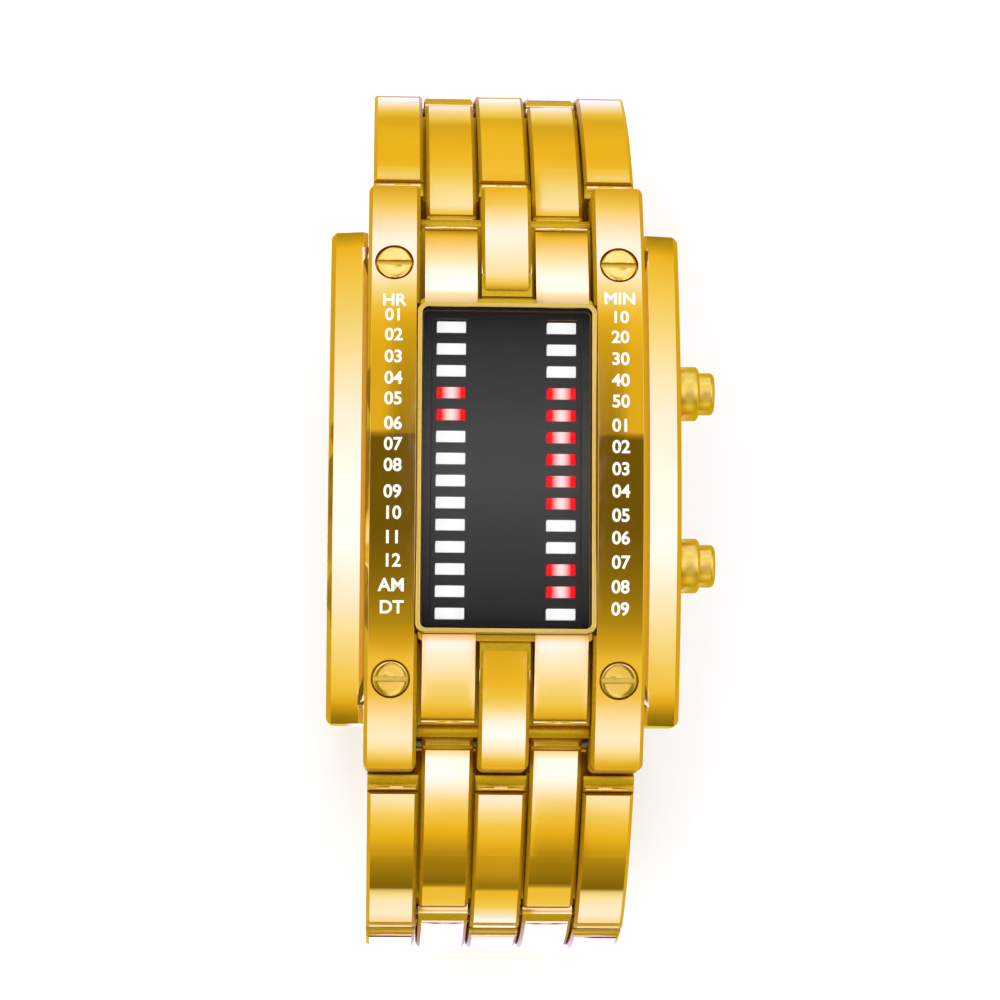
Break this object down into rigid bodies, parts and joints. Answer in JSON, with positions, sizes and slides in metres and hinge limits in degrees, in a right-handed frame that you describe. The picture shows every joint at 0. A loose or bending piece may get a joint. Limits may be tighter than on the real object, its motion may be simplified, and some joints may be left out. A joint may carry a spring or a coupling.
{
  "type": "led watch",
  "caption": "Rectangular wristwatch with light-bar display, side wings, slotted rail screws, two pushers and a linked metal bracelet with a fold-over clasp",
  "frame": {"origin": "middle of the watch on the flat outer face of the clasp cover", "axes": "+X to 3 o'clock, +Y to 12 o'clock, +Z out of the dial"},
  "size_m": [0.0326, 0.078, 0.0583],
  "materials": {
    "gold_plate": "polished",
    "steel": "satin",
    "tinted_glass": "gloss",
    "rubber": "matte",
    "black_plastic": "matte",
    "pale_plastic": "matte",
    "light_resin": "gloss",
    "circuit_board": "satin"
  },
  "bodies": {
    "watch_case": {"case_body": "gold_plate", "hour_rail": "gold_plate", "minute_rail": "gold_plate", "rail_screws": "gold_plate", "case_link_pins": "steel", "display_frame": "gold_plate", "display_lens": "tinted_glass", "lens_gasket": "rubber", "light_mask": "black_plastic", "hour_lights": "light_resin", "minute_lights": "light_resin", "circuit_board": "circuit_board", "module_holder": "pale_plastic", "coin_cell": "steel", "cell_clip": "steel", "switch_contacts": "steel", "case_back": "steel", "case_back_gasket": "rubber", "case_back_screws": "steel", "pusher_tubes": "gold_plate", "pusher_seals": "rubber"},
    "upper_button": {"upper_pusher": "gold_plate", "upper_pusher_clip": "steel", "upper_pusher_spring": "steel"},
    "lower_button": {"lower_pusher": "gold_plate", "lower_pusher_clip": "steel", "lower_pusher_spring": "steel"},
    "upper_first_link": {"upper_link_1": "gold_plate", "upper_link_1_pin": "steel"},
    "upper_second_link": {"upper_link_2": "gold_plate", "upper_link_2_pin": "steel"},
    "upper_third_link": {"upper_link_3": "gold_plate"},
    "lower_first_link": {"lower_link_1": "gold_plate", "lower_link_1_pin": "steel"},
    "lower_second_link": {"lower_link_2": "gold_plate", "lower_link_2_pin": "steel"},
    "lower_third_link": {"lower_link_3": "gold_plate", "cover_spring_bar": "steel"},
    "cover": {"clasp_cover": "gold_plate", "cover_hinge_pin": "steel"},
    "inner_blade": {"middle_blade": "steel", "blade_hinge_pin": "steel"},
    "outer_blade": {"end_blade": "steel", "end_spring_bar": "steel"}
  },
  "joints": [
    {"name": "upper_first_hinge", "type": "hinge", "parent": "watch_case", "child": "upper_first_link", "pos_m": [0, 0.0222, 0.04885], "axis": [1, 0, 0], "range_deg": [0, 46]},
    {"name": "upper_second_hinge", "type": "hinge", "parent": "upper_first_link", "child": "upper_second_link", "pos_m": [0, 0.03575, 0.03482], "axis": [1, 0, 0], "range_deg": [0, 42]},
    {"name": "upper_third_hinge", "type": "hinge", "parent": "upper_second_link", "child": "upper_third_link", "pos_m": [0, 0.03643, 0.01533], "axis": [1, 0, 0], "range_deg": [0, 52]},
    {"name": "lower_first_hinge", "type": "hinge", "parent": "watch_case", "child": "lower_first_link", "pos_m": [0, -0.0222, 0.04885], "axis": [-1, 0, 0], "range_deg": [0, 46]},
    {"name": "lower_second_hinge", "type": "hinge", "parent": "lower_first_link", "child": "lower_second_link", "pos_m": [0, -0.03575, 0.03482], "axis": [-1, 0, 0], "range_deg": [0, 42]},
    {"name": "lower_third_hinge", "type": "hinge", "parent": "lower_second_link", "child": "lower_third_link", "pos_m": [0, -0.03643, 0.01533], "axis": [-1, 0, 0], "range_deg": [0, 52]},
    {"name": "cover_hinge", "type": "hinge", "parent": "lower_third_link", "child": "cover", "pos_m": [0, -0.02149, 0.0028], "axis": [-1, 0, 0], "range_deg": [0, 40]},
    {"name": "clasp_fold", "type": "hinge", "parent": "cover", "child": "inner_blade", "pos_m": [0, 0.0155, 0.0024], "axis": [-1, 0, 0], "range_deg": [0, 45]},
    {"name": "blade_fold", "type": "hinge", "parent": "inner_blade", "child": "outer_blade", "pos_m": [0, -0.0155, 0.0029], "axis": [1, 0, 0], "range_deg": [0, 45]},
    {"name": "upper_press", "type": "slide", "parent": "watch_case", "child": "upper_button", "axis": [-1, 0, 0], "range_m": [0, 0.0007], "stiffness_N_per_m": 600, "springref_m": -0.001, "deforming": ["upper_pusher_spring"]},
    {"name": "lower_press", "type": "slide", "parent": "watch_case", "child": "lower_button", "axis": [-1, 0, 0], "range_m": [0, 0.0007], "stiffness_N_per_m": 600, "springref_m": -0.001, "deforming": ["lower_pusher_spring"]}
  ],
  "couplings": [
    {"joint": "blade_fold", "follows": "clasp_fold", "ratio": 1}
  ]
}
